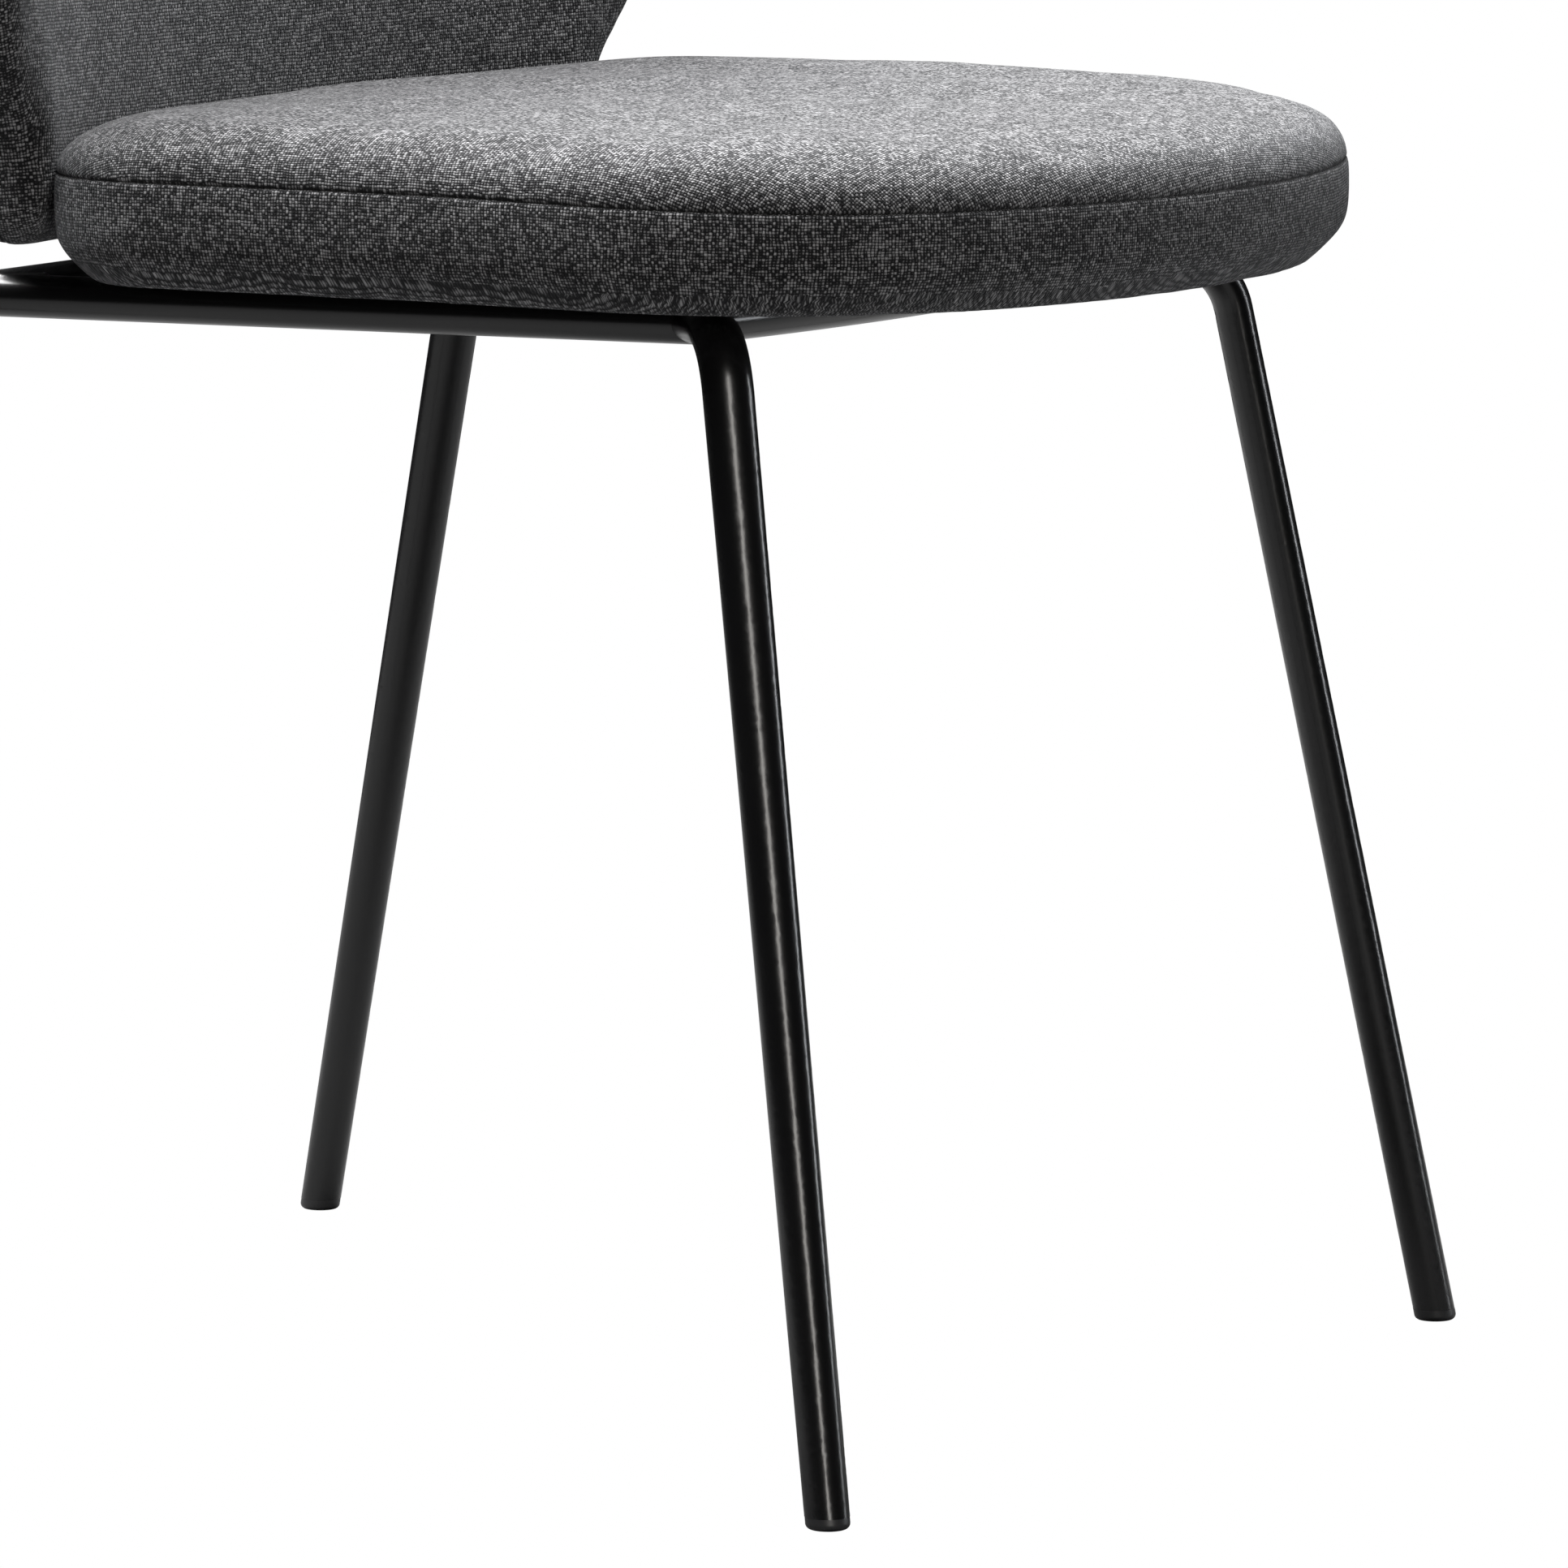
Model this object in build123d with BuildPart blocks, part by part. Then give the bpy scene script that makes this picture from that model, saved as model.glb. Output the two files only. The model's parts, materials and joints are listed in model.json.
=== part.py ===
from build123d import *

import math
import os

# Dining chair: a bent steel tube frame, a padded seat and a padded back that wraps the seat.
# Millimetres. The chair faces -Y, X runs across it, +Z is up and the feet stand on z = 0.
# The origin is on the floor, in the middle of the chair's overall box.

os.makedirs("parts", exist_ok=True)

# Tube frame
tube_d = 16.0  # outside diameter of every tube
tube_wall = 1.5
knee_across = 1.17 * tube_d  # leg section at the bend, across the bend
knee_deep = 0.89 * tube_d  # leg section at the bend, in the plane of the bend
bend_radius = 25.8
rail_height = 416.5  # centre line of the seat frame above the floor
feet_depth = 518.0  # front foot to rear foot
front_feet_width = 490.8
rear_feet_width = 521.2
front_knee_width = 391.6  # between the corners that the front legs would have unbent
rear_knee_width = 409.2
front_knee_setback = 70.2  # corner behind the front foot
rear_knee_setback = 107.3  # corner ahead of the rear foot
stub_angle = 41.0  # plan angle of the bent-in leg ends from the X axis
front_joint = 50.0  # corner to the rail joint, along the stub
rear_joint = 27.5
stub_tail = 1.57 * tube_d  # stub beyond the rail joint
under_floor = 30.0  # legs are drawn this far below the floor and then cut level
front_bar_bow = 13.3  # the front bar bows forward by this at the middle

# Plastic feet and tube plugs
foot_height = 4.5
foot_round = 2.2
plug_length = 18.0
plug_lip = 1.2
plug_gap = 0.15  # plug to the inside of the tube

# Seat
seat_overhang = 37.0  # front edge ahead of the front feet
seat_width = 454.0
seat_thickness = 61.5
seam_height = 40.0  # seam above the seat's underside
seat_front_radius = 350.0
seat_front_corner = 140.0
seat_rear_corner = 60.0
seat_top_round = 19.0
seat_bottom_round = 9.0
seat_board = 12.0  # plywood thickness
board_inset = 18.0  # board edge inside the seat's outline
hem_width = 28.0  # cover turned under the seat
seat_back_gap = 1.5  # seat to the front face of the back
cover = 1.5  # upholstery fabric with its lining

# Back
back_bottom = 432.0
back_height = 360.0
back_thickness = 34.0
back_recline = 6.0
back_low_width = 420.0
back_wide_width = 514.0
back_top_width = 490.0
flare_start = 39.0  # height at which the sides begin to flare
flare_end = 117.0
back_low_corner = 18.0
flare_in_round = 30.0
flare_out_round = 190.0
back_top_corner = 115.0
back_mid_radius = 800.0  # plan curve of the front face, middle
back_mid_half = 130.0  # half width of the middle curve
back_wing_radius = 300.0
back_ply = 8.0
ply_inset = 6.0
rear_pad = 3.3  # foam behind the ply
plan_spare = 4.0  # plan curve beyond the widest part of the back

# Steel brackets, screws and nuts
bracket_width = 30.0
bracket_thickness = 4.0
bracket_gap = 184.0  # middle to middle
bracket_rise = 96.0  # above the bottom of the back
bracket_slack = 1.0  # clearance round a bracket in the cover and foam
bracket_standoff = 0.2  # the flat bracket ahead of the curved ply
bolt_heights = (34.0, 76.0)
tab_length = 34.0
tab_reach = 27.0  # from the rail's centre line
tab_start = 3.0
tab_thickness = 3.0
tab_from_front = 45.0  # along the rail, from the front joint
tab_from_rear = 78.0
screw_offset = 16.0  # from the rail's centre line
thread_d = 6.0
thread_gap = 0.1
hole_gap = 0.3
head_d = 12.0
head_height = 3.4
hex_across = 4.0
hex_depth = 2.2
screw_length = 16.0
back_bolt_length = 13.0
washer_d = 14.0
washer_thickness = 1.2
nut_flange_d = 19.0
nut_flange = 1.4
nut_barrel_d = 8.6
nut_barrel = 7.0
nut_gap = 0.1

# Positions worked out from the sizes above
tube_r = tube_d / 2
overall_depth = seat_overhang + feet_depth + tube_r
front_feet_y = seat_overhang - overall_depth / 2
rear_feet_y = front_feet_y + feet_depth
seat_front_y = front_feet_y - seat_overhang
frame_top = rail_height + tube_r
stub_x = math.cos(math.radians(stub_angle))
stub_y = math.sin(math.radians(stub_angle))


class Leg:
    """Centre line of one right-hand leg, from the foot through the bend to the stub's end."""

    def __init__(self, foot_width, foot_y, knee_width, knee_y, inward_y, joint):
        self.foot = Vector(-foot_width / 2, foot_y, 0)
        self.corner = Vector(-knee_width / 2, knee_y, rail_height)
        self.stub = Vector(stub_x, inward_y * stub_y, 0)
        self.up = (self.corner - self.foot).normalized()
        self.across = self.up.cross(self.stub).normalized()
        self.turn = self.up.get_angle(self.stub)
        self.tangent = bend_radius * math.tan(math.radians(self.turn / 2))
        self.bend_start = self.corner - self.up * self.tangent
        self.bend_end = self.corner + self.stub * self.tangent
        self.bend_centre = self.bend_start + self.stub_side() * bend_radius
        self.joint = self.corner + self.stub * joint
        self.end = self.corner + self.stub * (joint + stub_tail)
        side = self.stub.cross(Vector(0, 0, 1))
        self.cut = Plane(origin=self.joint, x_dir=(0, 0, 1), z_dir=side)
        self.far_cut = Plane(
            origin=(-self.joint.X, self.joint.Y, rail_height),
            x_dir=(0, 0, 1),
            z_dir=(-side.X, side.Y, 0),
        )

    def stub_side(self):
        """Unit vector from the leg towards the inside of its bend."""
        return self.across.cross(self.up).normalized()

    def solid(self, inset, extra):
        """Filled leg with its skin moved in by inset and its ends made longer by extra."""
        below = self.foot - self.up * extra
        across_r = knee_across / 2 - inset
        deep_r = knee_deep / 2 - inset
        with BuildPart() as leg:
            with BuildSketch(Plane(origin=below, x_dir=self.across, z_dir=self.up)):
                Circle(tube_r - inset)
            with BuildSketch(Plane(origin=self.bend_start, x_dir=self.across, z_dir=self.up)):
                Ellipse(across_r, deep_r)
            loft()
            with BuildSketch(Plane(origin=self.bend_start, x_dir=self.across, z_dir=self.up)):
                Ellipse(across_r, deep_r)
            revolve(axis=Axis(self.bend_centre, self.across), revolution_arc=self.turn)
            with BuildSketch(Plane(origin=self.bend_end, x_dir=self.across, z_dir=self.stub)):
                Ellipse(across_r, deep_r)
            extrude(amount=(self.end - self.bend_end).length + min(extra, inset))
        return leg.part


def mirrored(part):
    """The same piece for the left side of the chair."""
    with BuildPart() as other:
        mirror(part, about=Plane.YZ)
    return other.part


def keep(name, part):
    """Label a finished piece and write it to its own file."""
    part.label = name
    export_step(part, f"parts/{name}.step")


def keep_pair(name, part):
    """Keep a right-hand piece and its mirror image."""
    keep(f"{name}_right", part)
    keep(f"{name}_left", mirrored(part))


# Legs, feet and plugs
front_knee_y = front_feet_y + front_knee_setback
rear_knee_y = rear_feet_y - rear_knee_setback
front_leg = Leg(front_feet_width, front_feet_y, front_knee_width, front_knee_y, 1, front_joint)
rear_leg = Leg(rear_feet_width, rear_feet_y, rear_knee_width, rear_knee_y, -1, rear_joint)


def leg_tube(leg):
    """Hollow leg, cut level above its plastic foot."""
    with BuildPart() as tube:
        add(leg.solid(0, under_floor))
        add(leg.solid(tube_wall, under_floor), mode=Mode.SUBTRACT)
        split(bisect_by=Plane.XY.offset(foot_height), keep=Keep.TOP)
    return tube.part


def foot_cap(leg):
    """Plastic foot that plugs into a leg and stands flat on the floor."""
    across_floor = Plane(origin=leg.foot - leg.up * under_floor, z_dir=leg.up)
    with BuildPart() as cap:
        with BuildSketch(across_floor):
            Circle(tube_r)
        extrude(amount=2 * under_floor)
        split(bisect_by=Plane.XY.offset(foot_height), keep=Keep.BOTTOM)
        split(bisect_by=Plane.XY, keep=Keep.TOP)
        fillet(cap.edges().group_by(Axis.Z)[0], foot_round)
        with BuildSketch(Plane(origin=leg.foot + leg.up * foot_round, z_dir=leg.up)):
            Circle(tube_r - tube_wall - plug_gap)
        extrude(amount=plug_length)
    return cap.part


def stub_plug(leg):
    """Plastic plug in the open end of a leg's stub."""
    with BuildPart() as plug:
        with BuildSketch(Plane(origin=leg.end, x_dir=leg.across, z_dir=leg.stub)):
            Ellipse(knee_across / 2, knee_deep / 2)
        extrude(amount=plug_lip)
        with BuildSketch(Plane(origin=leg.end, x_dir=leg.across, z_dir=leg.stub)):
            Ellipse(
                knee_across / 2 - tube_wall - plug_gap,
                knee_deep / 2 - tube_wall - plug_gap,
            )
        extrude(amount=-stub_tail / 2)
    return plug.part


for name, leg in (("front", front_leg), ("rear", rear_leg)):
    keep_pair(f"{name}_leg", leg_tube(leg))
    keep_pair(f"{name}_foot_cap", foot_cap(leg))

with BuildPart() as stub_plugs:
    for leg in (front_leg, rear_leg):
        add(stub_plug(leg))
        mirror(stub_plug(leg), about=Plane.YZ)
keep("stub_plugs", stub_plugs.part)

# Side rails and cross bars, each coped to the stubs
rail_way = (rear_leg.joint - front_leg.joint).normalized()
rail_length = (rear_leg.joint - front_leg.joint).length
rail_start = Plane(
    origin=front_leg.joint - rail_way * tube_d, x_dir=rail_way.cross(Vector(0, 0, 1)), z_dir=rail_way
)

with BuildPart() as side_rail:
    with BuildSketch(rail_start):
        Circle(tube_r)
        Circle(tube_r - tube_wall, mode=Mode.SUBTRACT)
    extrude(amount=rail_length + 2 * tube_d)
    split(bisect_by=front_leg.cut, keep=Keep.BOTTOM)
    split(bisect_by=rear_leg.cut, keep=Keep.TOP)
    add(front_leg.solid(0, under_floor), mode=Mode.SUBTRACT)
    add(rear_leg.solid(0, under_floor), mode=Mode.SUBTRACT)
keep_pair("side_rail", side_rail.part)

half_span = -front_leg.joint.X
bow_radius = (half_span**2 + front_bar_bow**2) / (2 * front_bar_bow)
bow_centre_y = front_leg.joint.Y - front_bar_bow + bow_radius
bow_angle = math.asin((half_span + tube_d) / bow_radius)
bow_sine = math.sin(bow_angle)
bow_cosine = math.cos(bow_angle)
bow_start = Plane(
    origin=(-bow_radius * bow_sine, bow_centre_y - bow_radius * bow_cosine, rail_height),
    x_dir=(0, 0, 1),
    z_dir=(bow_cosine, -bow_sine, 0),
)

with BuildPart() as front_cross_bar:
    with BuildSketch(bow_start):
        Circle(tube_r)
        Circle(tube_r - tube_wall, mode=Mode.SUBTRACT)
    revolve(
        axis=Axis((0, bow_centre_y, 0), (0, 0, 1)),
        revolution_arc=2 * math.degrees(bow_angle),
    )
    split(bisect_by=front_leg.cut, keep=Keep.TOP)
    split(bisect_by=front_leg.far_cut, keep=Keep.TOP)
    add(front_leg.solid(0, under_floor), mode=Mode.SUBTRACT)
    mirror(front_leg.solid(0, under_floor), about=Plane.YZ, mode=Mode.SUBTRACT)
keep("front_cross_bar", front_cross_bar.part)

with BuildPart() as rear_cross_bar:
    with BuildSketch(Plane.YZ.offset(rear_leg.joint.X - tube_d)):
        with Locations((rear_leg.joint.Y, rail_height)):
            Circle(tube_r)
            Circle(tube_r - tube_wall, mode=Mode.SUBTRACT)
    extrude(amount=2 * (tube_d - rear_leg.joint.X))
    split(bisect_by=rear_leg.cut, keep=Keep.BOTTOM)
    split(bisect_by=rear_leg.far_cut, keep=Keep.BOTTOM)
    add(rear_leg.solid(0, under_floor), mode=Mode.SUBTRACT)
    mirror(rear_leg.solid(0, under_floor), about=Plane.YZ, mode=Mode.SUBTRACT)
keep("rear_cross_bar", rear_cross_bar.part)

# Seat tabs welded to the inner sides of the rails, one screw in each
inward = rail_way.cross(Vector(0, 0, 1)).normalized()
tab_middles = [
    front_leg.joint + rail_way * tab_from_front,
    rear_leg.joint - rail_way * tab_from_rear,
]
tab_top = Vector(0, 0, tube_r)
screw_points = []
for middle in tab_middles:
    point = middle + inward * screw_offset + tab_top
    screw_points += [(side * point.X, point.Y) for side in (1, -1)]

with BuildPart() as seat_tabs:
    for middle in tab_middles:
        with BuildSketch(Plane(origin=middle + tab_top, x_dir=inward, z_dir=(0, 0, 1))):
            with Locations((tab_start, 0)):
                Rectangle(tab_reach - tab_start, tab_length, align=(Align.MIN, Align.CENTER))
        extrude(amount=-tab_thickness)
    with BuildSketch(rail_start):
        Circle(tube_r)
    extrude(amount=rail_length + 2 * tube_d, mode=Mode.SUBTRACT)
    with Locations(*[(point[0], point[1], frame_top) for point in screw_points]):
        Hole(thread_d / 2 + hole_gap)
    mirror(about=Plane.YZ)
keep("seat_tabs", seat_tabs.part)


# Plan curve of the back: a wide middle arc with a tighter arc at each end
mid_angle = math.asin(back_mid_half / back_mid_radius)
wing_centre = (
    (back_mid_radius - back_wing_radius) * math.sin(mid_angle),
    (back_mid_radius - back_wing_radius) * math.cos(mid_angle) - back_mid_radius,
)
wing_reach = math.asin((back_wide_width / 2 + plan_spare - wing_centre[0]) / back_wing_radius)


def plan_curve(front_y, depth, end_angle):
    """Draw the plan curve in the open line builder and return its two ends."""
    mid_deg = math.degrees(mid_angle)
    wing_deg = math.degrees(end_angle) - mid_deg
    wing_x, wing_y = wing_centre[0], wing_centre[1] + front_y
    CenterArc((0, front_y - back_mid_radius), back_mid_radius + depth, 90 - mid_deg, 2 * mid_deg)
    left = CenterArc((-wing_x, wing_y), back_wing_radius + depth, 90 + mid_deg, wing_deg)
    right = CenterArc((wing_x, wing_y), back_wing_radius + depth, 90 - mid_deg - wing_deg, wing_deg)
    return left @ 1, right @ 0


# The brackets stand on the rear bar, and the back is placed from them
ply_near = back_thickness - cover - rear_pad - back_ply
ply_far = ply_near + back_ply
pad_far = back_thickness - cover
strap_depth = ply_near - bracket_standoff - bracket_thickness / 2
strap_angle = math.asin(bracket_gap / 2 / (back_mid_radius + strap_depth))
strap_plan_y = (back_mid_radius + strap_depth) * math.cos(strap_angle) - back_mid_radius
lean = math.radians(back_recline)
strap_drop = (back_bottom - frame_top - strap_plan_y * math.sin(lean)) / math.cos(lean)
back_face_y = rear_leg.joint.Y - strap_plan_y * math.cos(lean) + strap_drop * math.sin(lean)
back_plane = Plane(
    origin=(0, back_face_y, back_bottom),
    x_dir=(1, 0, 0),
    z_dir=(0, math.sin(lean), math.cos(lean)),
)
front_plane = Plane(
    origin=(0, back_face_y, back_bottom),
    x_dir=(1, 0, 0),
    z_dir=(0, -math.cos(lean), math.sin(lean)),
)


# Seat
def seat_outline(inset):
    """Plan of the seat, its rear edge following the back, moved in by inset."""
    half = seat_width / 2
    front_rise = seat_front_radius - math.sqrt(seat_front_radius**2 - half**2)
    end_angle = math.asin((half - wing_centre[0]) / (back_wing_radius - seat_back_gap))
    with BuildSketch() as outline:
        with BuildLine():
            left, right = plan_curve(back_face_y, -seat_back_gap, end_angle)
            front_left = (-half, seat_front_y + front_rise)
            front_right = (half, seat_front_y + front_rise)
            ThreePointArc(front_left, (0, seat_front_y), front_right)
            Line(front_left, left)
            Line(front_right, right)
        make_face()
        for column in (0, -1):
            corners = outline.vertices().group_by(Axis.X)[column].sort_by(Axis.Y)
            fillet(corners[0], seat_front_corner)
        for column in (0, -1):
            corners = outline.vertices().group_by(Axis.X)[column].sort_by(Axis.Y)
            fillet(corners[-1], seat_rear_corner)
        if inset:
            offset(amount=-inset, mode=Mode.REPLACE)
    return outline.sketch


def seat_body(inset):
    """Whole padded seat with its skin moved in by inset."""
    with BuildPart() as body:
        with BuildSketch(Plane.XY.offset(frame_top + inset)):
            add(seat_outline(inset))
        extrude(amount=seat_thickness - 2 * inset)
        fillet(body.faces().sort_by(Axis.Z)[-1].edges(), seat_top_round - inset)
        fillet(body.faces().sort_by(Axis.Z)[0].edges(), seat_bottom_round - inset)
    return body.part


seat_outside = seat_body(0)
seat_core = seat_body(cover)
seam_plane = Plane.XY.offset(frame_top + seam_height)
board_bottom = frame_top + cover
board_top = board_bottom + seat_board

with BuildPart() as seat_top_cover:
    add(seat_outside)
    add(seat_core, mode=Mode.SUBTRACT)
    split(bisect_by=seam_plane, keep=Keep.TOP)
keep("seat_top_cover", seat_top_cover.part)

with BuildPart() as seat_side_band:
    add(seat_outside)
    add(seat_core, mode=Mode.SUBTRACT)
    split(bisect_by=seam_plane, keep=Keep.BOTTOM)
    with BuildSketch(Plane.XY.offset(frame_top)):
        add(seat_outline(hem_width))
    extrude(amount=cover, mode=Mode.SUBTRACT)
keep("seat_side_band", seat_side_band.part)

with BuildPart() as seat_dust_cloth:
    with BuildSketch(Plane.XY.offset(frame_top)):
        add(seat_outline(hem_width))
        with Locations(*screw_points):
            Circle(thread_d / 2 + hole_gap, mode=Mode.SUBTRACT)
    extrude(amount=cover)
keep("seat_dust_cloth", seat_dust_cloth.part)

with BuildPart() as board:
    with BuildSketch(Plane.XY.offset(board_bottom)):
        add(seat_outline(board_inset))
        with Locations(*screw_points):
            Circle(nut_barrel_d / 2 + nut_gap, mode=Mode.SUBTRACT)
    extrude(amount=seat_board)
keep("seat_board", board.part)

with BuildPart() as seat_foam:
    add(seat_core)
    with BuildSketch(Plane.XY.offset(board_bottom)):
        add(seat_outline(board_inset))
    extrude(amount=seat_board, mode=Mode.SUBTRACT)
    with BuildSketch(Plane.XY.offset(board_top)):
        with Locations(*screw_points):
            Circle(nut_flange_d / 2 + nut_gap)
    extrude(amount=nut_flange + nut_gap, mode=Mode.SUBTRACT)
keep("seat_foam", seat_foam.part)


# Screws, washers and tee nuts, drawn about the face that the head or flange bears on
def button_screw(length):
    """Button-head screw whose shank rises from the origin, with a hexagon socket."""
    with BuildPart() as screw:
        Cylinder(thread_d / 2, length, align=(Align.CENTER, Align.CENTER, Align.MIN))
        Cylinder(head_d / 2, head_height, align=(Align.CENTER, Align.CENTER, Align.MAX))
        fillet(screw.edges().group_by(Axis.Z)[0], head_height / 2)
        with BuildSketch(Plane.XY.offset(-head_height)):
            RegularPolygon(hex_across / 2, 6, major_radius=False)
        extrude(amount=hex_depth, mode=Mode.SUBTRACT)
    return screw.part


def tee_nut():
    """Tee nut whose flange lies above the origin and whose barrel hangs below it."""
    with BuildPart() as nut:
        Cylinder(nut_flange_d / 2, nut_flange, align=(Align.CENTER, Align.CENTER, Align.MIN))
        Cylinder(nut_barrel_d / 2, nut_barrel, align=(Align.CENTER, Align.CENTER, Align.MAX))
        Hole(thread_d / 2 + thread_gap)
    return nut.part


def washer():
    """Flat washer whose upper face is at the origin."""
    with BuildPart() as ring:
        with BuildSketch():
            Circle(washer_d / 2)
            Circle(thread_d / 2 + hole_gap, mode=Mode.SUBTRACT)
        extrude(amount=-washer_thickness)
    return ring.part


def placed(part, places):
    """Copies of one small piece at several places, as separate solids."""
    with BuildPart() as group:
        with Locations(*places):
            add(part)
    return group.part


tab_bottom = frame_top - tab_thickness
screw_seat = tab_bottom - washer_thickness
keep(
    "seat_screws",
    placed(button_screw(screw_length), [Location((x, y, screw_seat)) for x, y in screw_points]),
)
keep("seat_washers", placed(washer(), [Location((x, y, tab_bottom)) for x, y in screw_points]))
keep("seat_tee_nuts", placed(tee_nut(), [Location((x, y, board_top)) for x, y in screw_points]))


# Back
sides = (1, -1)


def back_outline(inset):
    """Front view of the back, moved in by inset."""
    corners = [
        (back_low_width / 2, 0),
        (back_low_width / 2, flare_start),
        (back_wide_width / 2, flare_end),
        (back_top_width / 2, back_height),
    ]
    rounds = [back_low_corner, flare_in_round, flare_out_round, back_top_corner]
    mirror_corners = [(-x, y) for x, y in reversed(corners)]
    with BuildSketch() as outline:
        with BuildLine():
            FilletPolyline(*corners, *mirror_corners, radius=rounds + rounds[::-1], close=True)
        make_face()
        if inset:
            offset(amount=-inset, mode=Mode.REPLACE)
    return outline.sketch


def back_layer(near, far, inset):
    """Layer of the back between two distances behind its front face, edge moved in by inset."""
    with BuildPart() as layer:
        with BuildSketch(back_plane):
            with BuildLine():
                near_left, near_right = plan_curve(0, near, wing_reach)
                far_left, far_right = plan_curve(0, far, wing_reach)
                Line(near_left, far_left)
                Line(near_right, far_right)
            make_face()
        extrude(amount=back_height)
        with BuildSketch(front_plane):
            add(back_outline(inset))
        extrude(amount=back_wide_width, both=True, mode=Mode.INTERSECT)
    return layer.part


def back_place(side, depth, height):
    """Plane on the back at one bracket: Z points out of the rear, Y points up."""
    radius = back_mid_radius + depth
    x = side * radius * math.sin(strap_angle)
    y = radius * math.cos(strap_angle) - back_mid_radius
    origin = back_plane.from_local_coords(Vector(x, y, height))
    tip = back_plane.from_local_coords(
        Vector(x + side * math.sin(strap_angle), y + math.cos(strap_angle), height)
    )
    outwards = tip - origin
    return Plane(origin=origin, x_dir=outwards.cross(back_plane.z_dir) * -1, z_dir=outwards)


def strap(side, slack):
    """Flat steel upright of a bracket, larger all round by slack."""
    foot = strap_drop + tube_r
    low = back_place(side, strap_depth, -foot)
    with BuildPart() as upright:
        with BuildSketch(Plane(origin=low.origin, x_dir=low.x_dir, z_dir=back_plane.z_dir)):
            Rectangle(bracket_width + 2 * slack, bracket_thickness + 2 * slack)
        extrude(amount=foot + bracket_rise + slack)
    return upright.part


def bolt_places(depth):
    """Planes of the four back bolts at a distance behind the back's front face."""
    return [back_place(side, depth, height) for side in sides for height in bolt_heights]


def holes(places, radius, length):
    """Solid pegs to cut round holes with, centred on the places."""
    with BuildPart() as pegs:
        with Locations(*places):
            Cylinder(radius, length)
    return pegs.part


back_edge = back_layer(cover, pad_far, 0)
back_core = back_layer(cover, pad_far, cover)
back_shell = back_layer(ply_near, ply_far, cover + ply_inset)

with BuildPart() as back_front_cover:
    add(back_layer(0, cover, 0))
keep("back_front_cover", back_front_cover.part)

with BuildPart() as back_rear_cover:
    add(back_layer(pad_far, back_thickness, 0))
keep("back_rear_cover", back_rear_cover.part)

with BuildPart() as back_edge_band:
    add(back_edge)
    add(back_core, mode=Mode.SUBTRACT)
    for side in sides:
        add(strap(side, bracket_slack), mode=Mode.SUBTRACT)
keep("back_edge_band", back_edge_band.part)

with BuildPart() as back_front_foam:
    add(back_layer(cover, ply_near, cover))
    for side in sides:
        add(strap(side, bracket_slack), mode=Mode.SUBTRACT)
    head_depth = strap_depth - bracket_thickness / 2 - washer_thickness - head_height
    pocket = 2 * (ply_near - head_depth + bracket_slack)
    add(holes(bolt_places(ply_near), washer_d / 2 + bracket_slack, pocket), mode=Mode.SUBTRACT)
keep("back_front_foam", back_front_foam.part)

with BuildPart() as back_ply_shell:
    add(back_shell)
    through_ply = 4 * back_ply
    add(holes(bolt_places(ply_far), nut_barrel_d / 2 + nut_gap, through_ply), mode=Mode.SUBTRACT)
keep("back_ply_shell", back_ply_shell.part)

with BuildPart() as back_rear_foam:
    add(back_layer(ply_near, pad_far, cover))
    add(back_shell, mode=Mode.SUBTRACT)
    flange_room = 2 * (nut_flange + nut_gap)
    add(holes(bolt_places(ply_far), nut_flange_d / 2 + nut_gap, flange_room), mode=Mode.SUBTRACT)
keep("back_rear_foam", back_rear_foam.part)

with BuildPart() as back_bracket:
    add(strap(1, 0))
    with Locations((0, rear_leg.joint.Y, rail_height)):
        Cylinder(tube_r, back_low_width, rotation=(0, 90, 0), mode=Mode.SUBTRACT)
    bolt_clearance = thread_d / 2 + hole_gap
    add(holes(bolt_places(strap_depth), bolt_clearance, 2 * bracket_thickness), mode=Mode.SUBTRACT)
keep("back_bracket_left", back_bracket.part)
keep("back_bracket_right", mirrored(back_bracket.part))

bracket_face = strap_depth - bracket_thickness / 2
bolt_seat = bracket_face - washer_thickness
keep("back_washers", placed(washer(), [place.location for place in bolt_places(bracket_face)]))
keep(
    "back_bolts",
    placed(button_screw(back_bolt_length), [place.location for place in bolt_places(bolt_seat)]),
)
keep("back_tee_nuts", placed(tee_nut(), [place.location for place in bolt_places(ply_far)]))
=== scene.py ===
"""Dresses the dining chair.

Padded seat and back in woven cloth, gloss black tubes and a white studio.
"""

import json
import math

import bmesh
import bpy
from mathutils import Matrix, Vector, kdtree, noise


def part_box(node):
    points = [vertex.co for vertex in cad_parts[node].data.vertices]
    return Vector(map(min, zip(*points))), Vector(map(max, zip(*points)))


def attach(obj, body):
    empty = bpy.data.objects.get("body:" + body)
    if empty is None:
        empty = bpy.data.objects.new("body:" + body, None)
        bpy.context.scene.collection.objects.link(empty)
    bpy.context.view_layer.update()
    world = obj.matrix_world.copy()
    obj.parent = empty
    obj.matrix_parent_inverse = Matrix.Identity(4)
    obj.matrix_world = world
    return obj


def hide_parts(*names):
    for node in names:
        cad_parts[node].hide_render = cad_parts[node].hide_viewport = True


bl_info = {
    "name": "Dining Chair Dressing",
    "version": (1, 0, 0),
    "blender": (4, 5, 0),
    "location": "3D View > Sidebar > Chair",
    "description": "Builds the chair's upholstery and finishes around its packed frame",
    "category": "Object",
}

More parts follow.
